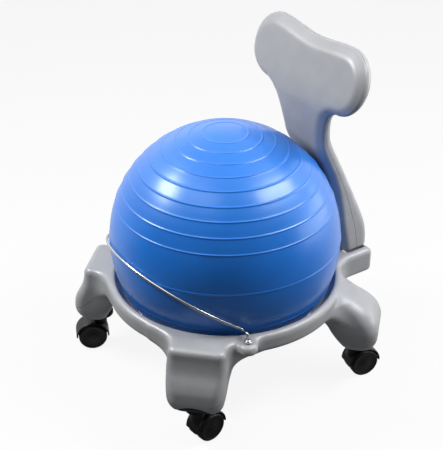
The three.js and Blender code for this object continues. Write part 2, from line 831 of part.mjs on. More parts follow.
// Hood: a half round cover with a web between the wheels and a boss that turns on the stem
function hoodGeometry() {
  const halfRound = new THREE.Shape();
  halfRound.absarc(0, 0, hoodRadius, 0, Math.PI);
  halfRound.closePath();
  const cover = new THREE.ExtrudeGeometry(halfRound, {
    depth: 2 * hoodHalfWidth,
    bevelEnabled: false,
    curveSegments: wheelSides / 2,
  });
  cover.rotateX(Math.PI / 2).translate(casterTrail, hoodHalfWidth, wheelRadius);
  const bossTopZ = casterHeight - turnGap;
  const boss = upright(bossRadius, wheelRadius + bossRise, bossTopZ, wheelSides);
  const webHalf = hoodWebThickness / 2;
  let hood = solidOf(cover).add(solidOf(boss));
  const wellRadius = hoodRadius - hoodWall;
  for (const side of [-1, 1]) {
    const from = Math.min(side * webHalf, side * 2 * hoodHalfWidth);
    const to = Math.max(side * webHalf, side * 2 * hoodHalfWidth);
    hood = hood.subtract(across(wellRadius, from, to));
  }
  hood = hood.add(across(hubRadius, -webHalf, webHalf));
  hood = hood.subtract(across(axleRadius + seatGap, -webHalf - cutOverrun, webHalf + cutOverrun));
  const bore = upright(stemRadius + seatGap, stemUnderZ - seatGap, bossTopZ + cutOverrun);
  return geometryOf(hood.subtract(solidOf(bore)));
}

// Wheel: a tyre and disc in one, bored from its inner side, along +Y of the caster
function wheelGeometry() {
  const bore = axleRadius + seatGap;
  const boreEnd = wheelInnerFace + wheelBoreDepth;
  const treadEnd = wheelInnerFace + wheelTreadWidth;
  const discEdge = treadEnd + wheelShoulder;
  const domeShares = [
    [0.87, 0.35],
    [0.5, 0.85],
  ];
  const dome = domeShares.map(([radiusShare, riseShare]) => {
    return new THREE.Vector2(radiusShare * wheelRadius, discEdge + riseShare * wheelDome);
  });
  const shoulder = arc(wheelRadius - wheelShoulder, treadEnd, wheelShoulder, 0, 90, 2);
  const points = [
    new THREE.Vector2(0, boreEnd),
    new THREE.Vector2(bore, boreEnd),
    new THREE.Vector2(bore, wheelInnerFace),
    new THREE.Vector2(wheelRadius - wheelInnerChamfer, wheelInnerFace),
    new THREE.Vector2(wheelRadius, wheelInnerFace + wheelInnerChamfer),
    ...shoulder.map(([radius, y]) => new THREE.Vector2(radius, y)),
    ...dome,
    new THREE.Vector2(0, discEdge + wheelDome),
  ];
  return new THREE.LatheGeometry(points, wheelSides);
}

function axleGeometry() {
  const length = 2 * (wheelInnerFace + wheelBoreDepth - seatGap);
  return new THREE.CylinderGeometry(axleRadius, axleRadius, length, smallSides);
}

// Materials
function material(color, roughness, metalness) {
  return new THREE.MeshStandardMaterial({ color, roughness, metalness });
}

const silverPlastic = material(0xa6a9ae, 0.38, 0.15);
const ballVinyl = material(0x2f76d6, 0.28, 0);
const plugPlastic = material(0xe6e8ea, 0.5, 0);
const chrome = material(0xd8dadc, 0.12, 1);
const brass = material(0xb8964e, 0.35, 1);
const steel = material(0x9a9c9e, 0.35, 1);
const blackNylon = material(0x1b1b1c, 0.45, 0);

function mesh(name, geometry, finish) {
  const piece = new THREE.Mesh(geometry, finish);
  piece.name = name;
  return piece;
}

// One caster on the floor under its stem: the end cap, the stem and its grip ring stand still and
// the hood and the wheels are turned to their heading
function caster(corner) {
  const turning = new THREE.Group();
  turning.add(mesh(`hood_${corner}`, hoodGeometry(), blackNylon));
  const axle = mesh(`axle_${corner}`, axleGeometry(), steel);
  axle.position.set(casterTrail, 0, wheelRadius);
  turning.add(axle);
  for (const [side, turn] of [["left", 0], ["right", Math.PI]]) {
    const wheel = mesh(`wheel_${side}_${corner}`, wheelGeometry(), blackNylon);
    wheel.position.set(casterTrail, 0, wheelRadius);
    wheel.rotation.z = turn;
    turning.add(wheel);
  }
  turning.rotation.z = radians(casterHeadingAngles[corner]);
  const group = new THREE.Group();
  group.add(mesh(`end_cap_${corner}`, endCapGeometry(), blackNylon));
  group.add(mesh(`stem_${corner}`, stemGeometry(), steel));
  group.add(mesh(`grip_ring_${corner}`, gripRingGeometry(), steel));
  group.add(turning);
  const [x, y] = stemPlace(legAngles[corner]);
  group.position.set(x, y, 0);
  return group;
}

// One screw with its insert, standing on the lug or lying through the backrest's tongue
function fastener(name, clamped, head, mouth) {
  const screw = mesh(name.replace("*", "screw"), screwGeometry(clamped), chrome);
  screw.position.z = head;
  const insert = mesh(name.replace("*", "insert"), insertGeometry(), brass);
  insert.position.z = mouth;
  const group = new THREE.Group();
  group.add(screw, insert);
  return group;
}

function retainerFastener(side) {
  const clamped = eyeThickness + 3 * seatGap;
  const sideName = side < 0 ? "right" : "left";
  const group = fastener(`retainer_*_${sideName}`, clamped, clamped - seatGap, -seatGap);
  group.position.set(side * lugX, lugY, ringTopZ);
  return group;
}

function backrestFastener(side) {
  const clamped = tongueDepth + 3 * seatGap;
  const sideName = side < 0 ? "right" : "left";
  const group = fastener(`backrest_*_${sideName}`, clamped, clamped - seatGap, -seatGap);
  group.rotation.x = -Math.PI / 2;
  group.position.set(side * tongueScrewSpread, slotFrontY, backScrewZ);
  return group;
}

// The chair, built round the ball's axis and then centred over the floor it covers
const chair = new THREE.Group();
chair.add(mesh("base_frame", baseGeometry(), silverPlastic));
chair.add(mesh("ball", ballGeometry(), ballVinyl));
chair.add(mesh("ball_plug", ballPlugGeometry(), plugPlastic));
chair.add(mesh("retainer_wire", retainerGeometry(), chrome));
chair.add(mesh("backrest", backrestGeometry(), silverPlastic));
for (const side of [-1, 1]) {
  chair.add(retainerFastener(side));
  chair.add(backrestFastener(side));
}
for (const corner of Object.keys(legAngles)) {
  chair.add(caster(corner));
}
const covered = new THREE.Box3().setFromObject(chair, true);
chair.position.set(0, -(covered.min.y + covered.max.y) / 2, 0);

const part = new THREE.Group();
part.add(chair);
export default part;
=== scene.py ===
# Looks of the balance ball chair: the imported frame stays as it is, and finer pieces and procedural
# materials are put over it. Shapes are worked out in millimetres about the ball's axis and are
# written as meshes in metres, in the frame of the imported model.
import json
import math

import bpy
import numpy as np
from mathutils import Matrix, Vector


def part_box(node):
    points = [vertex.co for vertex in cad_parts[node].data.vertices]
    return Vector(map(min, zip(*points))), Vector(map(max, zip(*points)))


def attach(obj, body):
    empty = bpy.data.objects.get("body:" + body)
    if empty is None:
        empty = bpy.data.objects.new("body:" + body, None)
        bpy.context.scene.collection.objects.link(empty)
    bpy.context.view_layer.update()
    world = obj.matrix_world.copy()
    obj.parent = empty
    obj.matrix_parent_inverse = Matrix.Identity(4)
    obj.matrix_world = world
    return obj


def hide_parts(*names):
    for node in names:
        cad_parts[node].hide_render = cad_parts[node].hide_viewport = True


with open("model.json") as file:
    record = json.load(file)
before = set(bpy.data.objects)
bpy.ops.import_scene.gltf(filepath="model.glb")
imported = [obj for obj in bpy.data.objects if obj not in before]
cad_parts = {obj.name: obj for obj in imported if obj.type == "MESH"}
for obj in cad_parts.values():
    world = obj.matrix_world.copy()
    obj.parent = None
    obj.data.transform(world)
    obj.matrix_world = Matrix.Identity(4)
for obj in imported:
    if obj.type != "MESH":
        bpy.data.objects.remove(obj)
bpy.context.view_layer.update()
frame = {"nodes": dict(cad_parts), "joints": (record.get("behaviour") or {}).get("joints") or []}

MM = 0.001
ball_low, ball_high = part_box("ball")
AXIS_Y = (ball_low.y + ball_high.y) / 2 / MM  # the ball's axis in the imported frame
BALL_RADIUS = 190
BALL_Z = 253
RING_TOP = 182
LEG_UNDER = 71
STEM_FROM_AXIS = 222
CORNERS = {"front_left": -45, "front_right": -135, "rear_left": 45, "rear_right": 135}


# Distance fields and meshes

def grid(low, high, step):
    """The points of a regular grid as three arrays."""
    axes = [np.arange(a, b + step, step, dtype=np.float32) for a, b in zip(low, high)]
    return np.meshgrid(*axes, indexing="ij", sparse=True)


def smooth_min(a, b, k):
    h = np.maximum(k - np.abs(a - b), 0) / k
    return np.minimum(a, b) - h * h * k / 4


def smooth_max(a, b, k):
    return -smooth_min(-a, -b, k)


def rounded_box(x, y, z, centre, half, radius):
    """Distance to a box with rounded edges, from its centre and half sizes."""
    q = [np.abs(v - c) - (h - radius) for v, c, h in zip((x, y, z), centre, half)]
    outside = np.sqrt(sum(np.maximum(v, 0) ** 2 for v in q))
    inside = np.minimum(np.maximum(np.maximum(q[0], q[1]), q[2]), 0)
    return outside + inside - radius


def polygon_distance(points, u, v):
    """Signed distance to a closed polygon, negative inside."""
    u, v = np.broadcast_arrays(u, v)
    least = np.full(u.shape, 1e9, np.float32)
    inside = np.zeros(u.shape, bool)
    for (au, av), (bu, bv) in zip(points, points[1:] + points[:1]):
        du, dv = bu - au, bv - av
        share = ((u - au) * du + (v - av) * dv) / (du * du + dv * dv)
        share = np.clip(share, 0, 1)
        least = np.minimum(least, (u - au - share * du) ** 2 + (v - av - share * dv) ** 2)
        crosses = ((av > v) != (bv > v)) & (u < du * (v - av) / (dv or 1e-9) + au)
        inside ^= crosses
    return np.sqrt(least) * np.where(inside, -1, 1)


def smooth_table(rows, height, spread=4.0):
    """The columns of [height, value, ...] rows read at heights, rounded off between the rows."""
    rows = np.array(rows, float)
    reach = 3 * spread
    fine = np.arange(rows[0, 0] - reach, rows[-1, 0] + reach, 1.0)
    bell = np.exp(-0.5 * (np.arange(-reach, reach + 1) / spread) ** 2)
    bell /= bell.sum()
    margin = len(bell) // 2
    out = []
    for column in range(1, rows.shape[1]):
        straight = np.interp(fine, rows[:, 0], rows[:, column])
        padded = np.pad(straight, margin, mode="edge")
        soft = np.convolve(padded, bell, mode="same")[margin:-margin]
        out.append(np.interp(height, fine, soft).astype(np.float32))
    return out


def surface(field, low, step):
    """Vertices and quads of the zero level of a field on a grid, solid where it is negative."""
    solid = field < 0
    cells = tuple(n - 1 for n in field.shape)
    ends = [(i, j, k) for i in (0, 1) for j in (0, 1) for k in (0, 1)]

    def corner(values, end):
        return values[tuple(slice(e, e + c) for e, c in zip(end, cells))]

    count = sum(corner(solid, end).astype(np.int8) for end in ends)
    active = (count > 0) & (count < 8)
    cell = np.argwhere(active)
    number = np.full(cells, -1, np.int64)
    number[active] = np.arange(len(cell))
    at = {end: corner(field, end)[active] for end in ends}
    place = np.zeros((len(cell), 3))
    hits = np.zeros(len(cell))
    for a in ends:
        for axis in range(3):
            if a[axis]:
                continue
            b = tuple(1 if i == axis else e for i, e in enumerate(a))
            crossing = (at[a] < 0) != (at[b] < 0)
            share = at[a] / np.where(crossing, at[a] - at[b], 1)
            point = np.tile(np.array(a, float), (len(cell), 1))
            point[:, axis] += share
            place[crossing] += point[crossing]
            hits += crossing
    vertices = np.array(low) + step * (cell + place / hits[:, None])
    quads = []
    for axis in range(3):
        u, v = (axis + 1) % 3, (axis + 2) % 3
        span = [slice(1, n - 1) for n in field.shape]
        span[axis] = slice(0, field.shape[axis] - 1)
        here = solid[tuple(span)]
        ahead = [slice(s.start, s.stop) for s in span]
        ahead[axis] = slice(1, field.shape[axis])
        change = here != solid[tuple(ahead)]
        base = np.argwhere(change) + [s.start for s in span]
        outward = here[change]

        def cell_number(du, dv):
            index = base.copy()
            index[:, u] -= du
            index[:, v] -= dv
            return number[tuple(index.T)]

        ring = np.stack([cell_number(*d) for d in ((1, 1), (0, 1), (0, 0), (1, 0))], axis=1)
        quads.append(np.where(outward[:, None], ring, ring[:, ::-1]))
    return vertices, np.concatenate(quads)


SLOPE_NUDGE = 0.2  # how far apart a field is read for its slope
LEAST_STEEPNESS = 0.05
LONGEST_MOVE = 1.5  # of a vertex in one round


def refine(vertices, quads, field_at, rounds):
    """Evens the vertices out and puts them back on the field's zero level."""
    edges = np.unique(np.sort(np.concatenate(
        [quads[:, [i, (i + 1) % 4]] for i in range(4)]), axis=1), axis=0)
    nudges = SLOPE_NUDGE * np.eye(3)
    for _ in range(rounds):
        total = np.zeros_like(vertices)
        count = np.zeros(len(vertices))
        for a, b in ((0, 1), (1, 0)):
            np.add.at(total, edges[:, a], vertices[edges[:, b]])
            np.add.at(count, edges[:, a], 1)
        vertices = vertices + 0.5 * (total / count[:, None] - vertices)
        value = field_at(*vertices.T)
        slope = np.stack([
            (field_at(*(vertices + nudge).T) - field_at(*(vertices - nudge).T)) / (2 * SLOPE_NUDGE)
            for nudge in nudges
        ], axis=1)
        steep = np.maximum((slope ** 2).sum(1), LEAST_STEEPNESS)
        move = np.clip(value / steep, -LONGEST_MOVE, LONGEST_MOVE)
        vertices = vertices - move[:, None] * slope
    return vertices


def solid_mesh(field_at, low, high, step, rounds=2):
    """The surface of a distance function inside a box."""
    points = grid(low, high, step)
    vertices, quads = surface(field_at(*points), low, step)
    return refine(vertices, quads, field_at, rounds), quads


ON_AXIS = 1e-6  # a radius below this is a point on the axis


def lathe(profile, sides):
    """Vertices and faces of a profile of [radius, z] turned about Z, with its ends on the axis."""
    vertices = []
    faces = []
    rings = []
    for radius, z in profile:
        if radius < ON_AXIS:
            rings.append([len(vertices)] * sides)
            vertices.append((0, 0, z))
        else:
            rings.append(list(range(len(vertices), len(vertices) + sides)))
            for i in range(sides):
                angle = 2 * math.pi * i / sides
                vertices.append((radius * math.cos(angle), radius * math.sin(angle), z))
    for low, high in zip(rings, rings[1:]):
        for i in range(sides):
            j = (i + 1) % sides
            face = [low[i], low[j], high[j], high[i]]
            face = [v for n, v in enumerate(face) if v != face[n - 1]]
            if len(face) > 2:
                faces.append(face)
    return np.array(vertices), faces


SKEW = (0.3, 0.5, 0.81)  # a direction that no tube here runs along


def tube(points, radius, sides, closed=False):
    """A round tube along points, with flat ends where it isn't closed."""
    points = np.array(points, float)
    if closed:
        along = np.roll(points, -1, 0) - np.roll(points, 1, 0)
    else:
        along = np.gradient(points, axis=0)
    along /= np.linalg.norm(along, axis=1)[:, None]
    side = np.cross(along[0], SKEW)
    vertices = []
    for point, direction in zip(points, along):
        side = side - direction * (side @ direction)
        side /= np.linalg.norm(side)
        up = np.cross(direction, side)
        for i in range(sides):
            angle = 2 * math.pi * i / sides
            vertices.append(point + radius * (math.cos(angle) * side + math.sin(angle) * up))
    count = len(points)
    faces = []
    for n in range(count if closed else count - 1):
        m = (n + 1) % count
        for i in range(sides):
            j = (i + 1) % sides
            faces.append([n * sides + i, n * sides + j, m * sides + j, m * sides + i])
    if not closed:
        faces.append(list(range(sides))[::-1])
        faces.append(list(range((count - 1) * sides, count * sides)))
    return np.array(vertices), faces


def piece(name, vertices, faces, body, material, replaced, values=None, turn=None):
    """A mesh object from millimetres about the ball's axis, riding on a body.

    values are numbers for each vertex, kept as attributes, and turn moves the vertices first.
    """
    vertices = np.array(vertices, float)
    if turn is not None:
        vertices = turn(vertices)
    vertices = (vertices + [0, AXIS_Y, 0]) * MM
    mesh = bpy.data.meshes.new(name)
    mesh.from_pydata(vertices.tolist(), [], [list(map(int, face)) for face in faces])
    mesh.polygons.foreach_set("use_smooth", [True] * len(mesh.polygons))
    for key, value in (values or {}).items():
        mesh.attributes.new(key, "FLOAT", "POINT").data.foreach_set("value", value.astype(np.float32))
    mesh.update()
    obj = bpy.data.objects.new(name, mesh)
    bpy.context.scene.collection.objects.link(obj)
    mesh.materials.append(material)
    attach(obj, body)
    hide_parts(*replaced)


# Materials

MIX_FIRST, MIX_SECOND, MIX_RESULT = 6, 7, 2  # sockets of a Mix node for colours


def new_material(name, color, roughness, **sockets):
    """A Principled material, with _ for each blank in a socket's name."""
    material = bpy.data.materials.new(name)
    material.use_nodes = True
    shader = material.node_tree.nodes["Principled BSDF"]
    shader.inputs["Base Color"].default_value = (*color, 1)
    shader.inputs["Roughness"].default_value = roughness
    for key, value in sockets.items():
        shader.inputs[key.replace("_", " ")].default_value = value
    return material


def node(owner, kind, **values):
    """A node of a material or of the world, with its sockets and properties set by name."""
    made = owner.node_tree.nodes.new(kind)
    for key, value in values.items():
        if key in made.inputs:
            made.inputs[key].default_value = value
        else:
            setattr(made, key, value)
    return made


def link(owner, source, target):
    owner.node_tree.links.new(source, target)


def ramp(material, source, stops):
    """A colour from a value, between two stops of [value, colour]."""
    made = node(material, "ShaderNodeValToRGB")
    for element, (position, color) in zip(made.color_ramp.elements, stops):
        element.position = position
        element.color = (*color, 1)
    link(material, source, made.inputs["Fac"])
    return made.outputs["Color"]


def noise(material, scale, detail=3.0, roughness=0.55):
    place = node(material, "ShaderNodeTexCoord")
    made = node(material, "ShaderNodeTexNoise", Scale=scale, Detail=detail, Roughness=roughness)
    link(material, place.outputs["Object"], made.inputs["Vector"])
    return made.outputs["Fac"]


def vary_color(material, scale, low, high):
    """Clouds the base colour between two colours."""
    shader = material.node_tree.nodes["Principled BSDF"]
    color = ramp(material, noise(material, scale), [(0.35, low), (0.65, high)])
    link(material, color, shader.inputs["Base Color"])
    return color


def map_range(owner, source, kind="LINEAR", **values):
    """A value moved from one range to another, with _ for each blank in a socket's name."""
    made = node(owner, "ShaderNodeMapRange", interpolation_type=kind)
    link(owner, source, made.inputs["Value"])
    for key, value in values.items():
        made.inputs[key.replace("_", " ")].default_value = value
    return made.outputs["Result"]


def vary_roughness(material, scale, low, high):
    """Clouds the roughness between two values."""
    shader = material.node_tree.nodes["Principled BSDF"]
    spread = map_range(material, noise(material, scale),
                       From_Min=0.3, From_Max=0.7, To_Min=low, To_Max=high)
    link(material, spread, shader.inputs["Roughness"])


def add_bump(material, height, strength, distance):
    """Adds a bump in front of the ones that the material already has."""
    shader = material.node_tree.nodes["Principled BSDF"]
    made = node(material, "ShaderNodeBump", Strength=strength, Distance=distance)
    link(material, height, made.inputs["Height"])
    held = shader.inputs["Normal"].links
    if held:
        link(material, held[0].from_socket, made.inputs["Normal"])
    link(material, made.outputs["Normal"], shader.inputs["Normal"])


# The parting lines are a real groove, and their dark colour is painted shade of the crease.
SEAM_HALF = 0.15  # half width of a parting line's floor
SEAM_EDGE = 0.75  # where a parting line has faded out


def parting_line_and_shade(material):
    """Black along the lines where the attributes seam and seam_gap are near 0, else white: the
    parting lines' groove, and painted shade in their crease.
    """
    seam = node(material, "ShaderNodeAttribute", attribute_name="seam")
    gap = node(material, "ShaderNodeAttribute", attribute_name="seam_gap")
    away = node(material, "ShaderNodeMath", operation="ABSOLUTE")
    link(material, seam.outputs["Fac"], away.inputs[0])
    total = node(material, "ShaderNodeMath", operation="ADD")
    link(material, away.outputs[0], total.inputs[0])
    link(material, gap.outputs["Fac"], total.inputs[1])
    return ramp(material, total.outputs[0], [(SEAM_HALF, (0, 0, 0)), (SEAM_EDGE, (1, 1, 1))])


def silver_plastic():
    """Satin moulded plastic with a fine grain, slight cloudiness and its parting lines, grooved by a
    bump and darkened with painted shade of their crease.
    """
    material = new_material("silver_plastic", (0.42, 0.43, 0.45), 0.38, Metallic=0.08,
                            Specular_IOR_Level=0.42, Coat_Weight=0.08, Coat_Roughness=0.22)
    shader = material.node_tree.nodes["Principled BSDF"]
    color = vary_color(material, 40, (0.385, 0.39, 0.405), (0.41, 0.415, 0.43))
    vary_roughness(material, 30, 0.36, 0.44)
    groove_and_shade = parting_line_and_shade(material)
    # painted shade: the base colour is darkened to 40% along the parting lines, where the crease's
    # shade fell
    mixed = node(material, "ShaderNodeMix", data_type="RGBA", blend_type="MULTIPLY")
    mixed.inputs[0].default_value = 0.6
    link(material, color, mixed.inputs[MIX_FIRST])
    link(material, groove_and_shade, mixed.inputs[MIX_SECOND])
    link(material, mixed.outputs[MIX_RESULT], shader.inputs["Base Color"])
    add_bump(material, groove_and_shade, 0.7, 0.0006)
    add_bump(material, noise(material, 700, 2), 0.04, 0.0002)
    return material


def ball_vinyl():
    """Glossy thick vinyl with the faint cloudiness of a moulded skin."""
    material = new_material("ball_vinyl", (0.02, 0.17, 0.62), 0.42,
                            Specular_IOR_Level=0.55, Specular_Tint=(0.72, 0.94, 1.0, 1),
                            Coat_Weight=0.5, Coat_Roughness=0.24)
    vary_color(material, 7, (0.007, 0.160, 0.65), (0.010, 0.188, 0.73))
    vary_roughness(material, 14, 0.38, 0.46)
    add_bump(material, noise(material, 160, 1), 0.015, 0.0004)
    return material


def metal(name, color, roughness, grain):
    """A metal whose colour, roughness and fine grain vary a little."""
    material = new_material(name, color, roughness, Metallic=1.0)
    low = tuple(0.92 * c for c in color)
    vary_color(material, 220, low, color)
    vary_roughness(material, grain, 0.75 * roughness, 1.3 * roughness)
    add_bump(material, noise(material, grain * 3, 2), 0.03, 0.0002)
    return material


def black_nylon():
    """Satin black plastic with a fine grain."""
    material = new_material("black_nylon", (0.006, 0.006, 0.0062), 0.4, Specular_IOR_Level=0.3)
    vary_color(material, 300, (0.004, 0.004, 0.0042), (0.008, 0.008, 0.0083))
    vary_roughness(material, 120, 0.34, 0.5)
    add_bump(material, noise(material, 1800, 2), 0.08, 0.0002)
    return material


def white_plastic():
    """Plain white plastic with a fine grain."""
    material = new_material("white_plastic", (0.75, 0.76, 0.77), 0.45)
    vary_color(material, 300, (0.72, 0.73, 0.74), (0.78, 0.79, 0.80))
    add_bump(material, noise(material, 1500, 2), 0.05, 0.0002)
    return material


SILVER = silver_plastic()
VINYL = ball_vinyl()
CHROME = metal("chrome", (0.50, 0.51, 0.52), 0.22, 60)
SCREW = metal("screw_chrome", (0.30, 0.31, 0.32), 0.30, 60)
STEEL = metal("steel", (0.45, 0.46, 0.47), 0.35, 400)
BRASS = metal("brass", (0.60, 0.42, 0.16), 0.3, 400)
NYLON = black_nylon()
WHITE = white_plastic()


# Base

RING_WALL = 197  # outer radius
RING_UNDER = 150
RING_UNDER_ROUNDING = 9
RING_TOP_ROUNDING = 12
SEAT_GAP = 0.7  # to the ball
BOWL_HEIGHTS = [157, 160.5, 169, 178]
BOWL_RADII = [165, 172, 179.5, 184]
BOWL_FLARE_SHARE = 0.8  # of the level distance, as the bowl's wall leans
BOWL_ROUNDING = 3.5

# Height, inner end, outer end, half width, half width at the root, rounding of the outer corners
LOWER_LEG = [
    [71, 206, 245, 34, 24, 20],
    [76.5, 204, 252, 40, 30, 21],
    [85.5, 200, 257, 44, 37, 21],
    [95.5, 194, 259, 46, 41, 20],
]
FRONT_LEG = LOWER_LEG + [
    [115.5, 185, 257, 47, 47, 19],
    [130, 180, 250.5, 47.5, 52, 17],
    [141, 178, 243.5, 48, 60, 15],
    [150, 176, 240, 48, 70, 14],
    [165, 176, 236.5, 46.5, 72, 13],
    [190, 176, 236, 46, 72, 13],
]
REAR_LEG = [row[:2] + [row[2] + 5] + row[3:] for row in LOWER_LEG] + [
    [113, 185, 265, 47.5, 47, 21],
    [130, 179, 260, 46.5, 52, 24],
    [145, 176, 250, 42, 52, 26],
    [155, 178, 237, 38, 49, 26],
    [163, 179, 223, 33.5, 45, 23],
    [169, 181, 210, 29.5, 40, 18],
    [174, 183, 198, 25, 34, 10],
    [180, 184, 190, 20, 25, 4],
    [190, 184, 186, 18, 20, 1],
]
LEG_TRIM = 0.6  # keeps the smoothed legs inside the solid's box
LEG_INNER_ROUNDING = 8
LEG_UNDER_ROUNDING = 9
FRONT_LEG_BLEND = 30  # into the ring
REAR_LEG_BLEND_LOW = 32  # into the ring, under the saddle
REAR_LEG_BLEND_TOP = 12  # from the saddle's height up
SADDLE_HEIGHT = 178
SADDLE_DEPTH = 14

# Hole in a foot for the end cap's sleeve, and the arched notch in its outer wall
SLEEVE_HOLE = 9.8
SLEEVE_HOLE_TOP = 101
NOTCH_RADIUS = 45
NOTCH_DROP = 25  # from the foot's underside to the arch's centre
NOTCH_FROM_AXIS = 226
NOTCH_ROUNDING = 1.5

# Lugs that carry the retainer's ends
LUG_ANGLE = 24.1  # forward of the X axis, in degrees
LUG_ROOT = 185
LUG_CENTRE = 207.5
LUG_RADIUS = 16
LUG_UNDER = 165
LUG_UNDER_ROUNDING = 7
LUG_BLEND = 11

# Bracket behind the ring and its slot: centre, half sizes and rounding
BRACKET = ((0, 215, 166), (85, 38, 30), 10)
BRACKET_BLEND = 22
SLOT = ((0, 226.2, 164), (71, 21.8, 60), 4)
SLOT_ROUNDING = 2.5

# Parting line on a leg's sides as (height, distance from the axis): a groove, darkened with painted
# shade.
# It keeps clear of the leg's middle and of the ring.
LEG_SEAM = [(97, 257), (104, 242), (117, 227), (130, 215), (136, 203), (135, 190)]
SEAM_CLEAR = 26
SEAM_INNER_END = 188
SEAM_FAR = 9.0  # the attributes' value away from every line


def turned(x, y, angle):
    """A point's place along and across a direction, in degrees."""
    c, s = math.cos(math.radians(angle)), math.sin(math.radians(angle))
    return c * x + s * y, c * y - s * x


def leg_field(x, y, z, name):
    along, across = turned(x, y, CORNERS[name])
    table = FRONT_LEG if name.startswith("front") else REAR_LEG
    inner, outer, half, root, corner = smooth_table(table, z)
    outer = outer - LEG_TRIM
    share = np.clip((along - inner) / (outer - corner - inner), 0, 1)
    width = half + (root - half) * (1 - share) ** 3
    qx = along - (outer - corner)
    qy = np.abs(across) - (width - corner)
    flat = np.sqrt(np.maximum(qx, 0) ** 2 + np.maximum(qy, 0) ** 2)
    flat = flat + np.minimum(np.maximum(qx, qy), 0) - corner
    flat = smooth_max(flat, inner - along, LEG_INNER_ROUNDING)
    return smooth_max(flat, LEG_UNDER - z, LEG_UNDER_ROUNDING)


def notch_field(x, y, z, angle, grow=0.0):
    """An arched cut through the wall of a leg's foot, over its end cap."""
    along, across = turned(x, y, angle)
    arch = np.sqrt(across ** 2 + (z - (LEG_UNDER - NOTCH_DROP)) ** 2) - NOTCH_RADIUS
    return np.maximum(arch - grow, NOTCH_FROM_AXIS - along)


def leg_blend(name, z):
    """How widely a leg flows into the ring at a height."""
    if name.startswith("front"):
        return FRONT_LEG_BLEND
    share = np.clip((SADDLE_HEIGHT - z) / SADDLE_DEPTH, 0, 1)
    return REAR_LEG_BLEND_TOP + (REAR_LEG_BLEND_LOW - REAR_LEG_BLEND_TOP) * share


def add_lugs(base, x, y, z):
    for angle in (-LUG_ANGLE, 180 + LUG_ANGLE):
        along, across = turned(x, y, angle)
        beyond = along - np.clip(along, LUG_ROOT, LUG_CENTRE)
        flat = np.sqrt(beyond ** 2 + across ** 2) - LUG_RADIUS
        lug = smooth_max(flat, LUG_UNDER - z, LUG_UNDER_ROUNDING)
        base = smooth_min(base, lug, LUG_BLEND)
    return base


def cut_seat(base, radius, z):
    """Cuts away the ball's room and the bowl around it."""
    seat = BALL_RADIUS + SEAT_GAP - np.sqrt(radius ** 2 + (z - BALL_Z) ** 2)
    wall = np.interp(z, BOWL_HEIGHTS, BOWL_RADII).astype(np.float32)
    bowl = np.maximum(BOWL_FLARE_SHARE * (radius - wall), BOWL_HEIGHTS[0] - z)
    return smooth_max(np.maximum(base, seat), -bowl, BOWL_ROUNDING)


def base_field(x, y, z):
    radius = np.sqrt(x * x + y * y)
    base = smooth_max(radius - RING_WALL, RING_UNDER - z, RING_UNDER_ROUNDING)
    for name in CORNERS:
        base = smooth_min(base, leg_field(x, y, z, name), leg_blend(name, z))
    base = add_lugs(base, x, y, z)
    base = smooth_min(base, rounded_box(x, y, z, *BRACKET), BRACKET_BLEND)
    base = smooth_max(base, z - RING_TOP, RING_TOP_ROUNDING)
    base = cut_seat(base, radius, z)
    base = smooth_max(base, -rounded_box(x, y, z, *SLOT), SLOT_ROUNDING)
    for angle in CORNERS.values():
        along, across = turned(x, y, angle)
        away = np.sqrt((along - STEM_FROM_AXIS) ** 2 + across ** 2)
        base = np.maximum(base, -np.maximum(away - SLEEVE_HOLE, z - SLEEVE_HOLE_TOP))
        base = smooth_max(base, -notch_field(x, y, z, angle), NOTCH_ROUNDING)
    return base


def leg_seams(vertices):
    """The signed distance over the legs' parting lines, and the distance beyond their ends."""
    seam = np.full(len(vertices), SEAM_FAR)
    gap = np.full(len(vertices), SEAM_FAR)
    distances = [-distance for _, distance in LEG_SEAM]
    heights = [height for height, _ in LEG_SEAM]
    for angle in CORNERS.values():
        along, across = turned(vertices[:, 0], vertices[:, 1], angle)
        above = vertices[:, 2] - np.interp(-along, distances, heights)
        outside = np.maximum(SEAM_CLEAR - np.abs(across), SEAM_INNER_END - along)
        outside = np.clip(np.maximum(outside, np.abs(above) - SEAM_FAR), 0, SEAM_FAR)
        near = outside < gap
        seam = np.where(near, above, seam)
        gap = np.where(near, outside, gap)
    return seam, gap


def base_piece():
    low, high, step = (-215, -222, 66), (215, 260, 187), 2.5
    vertices, quads = solid_mesh(base_field, low, high, step)
    seam, gap = leg_seams(vertices)
    piece("base_shell", vertices, quads, "chair_base", SILVER,
          ["base_frame"], {"seam": seam, "seam_gap": gap})


# End caps: a disc under the foot, a lip in its notch and a sleeve for the caster's stem

CAP_RADIUS = 21.5
CAP_MIDDLE = 68
CAP_HALF_THICKNESS = 2.7
CAP_ROUNDING = 1.2
LIP_UNDER = 72
LIP_INSET = 1.2  # from the foot's outer wall
LIP_GAP = 0.5  # to the notch's edge
LIP_ROUNDING = 1
SLEEVE_RADIUS = 9.5
SLEEVE_MIDDLE = 84
SLEEVE_HALF_LENGTH = 16.7
SLEEVE_BORE = 6.0


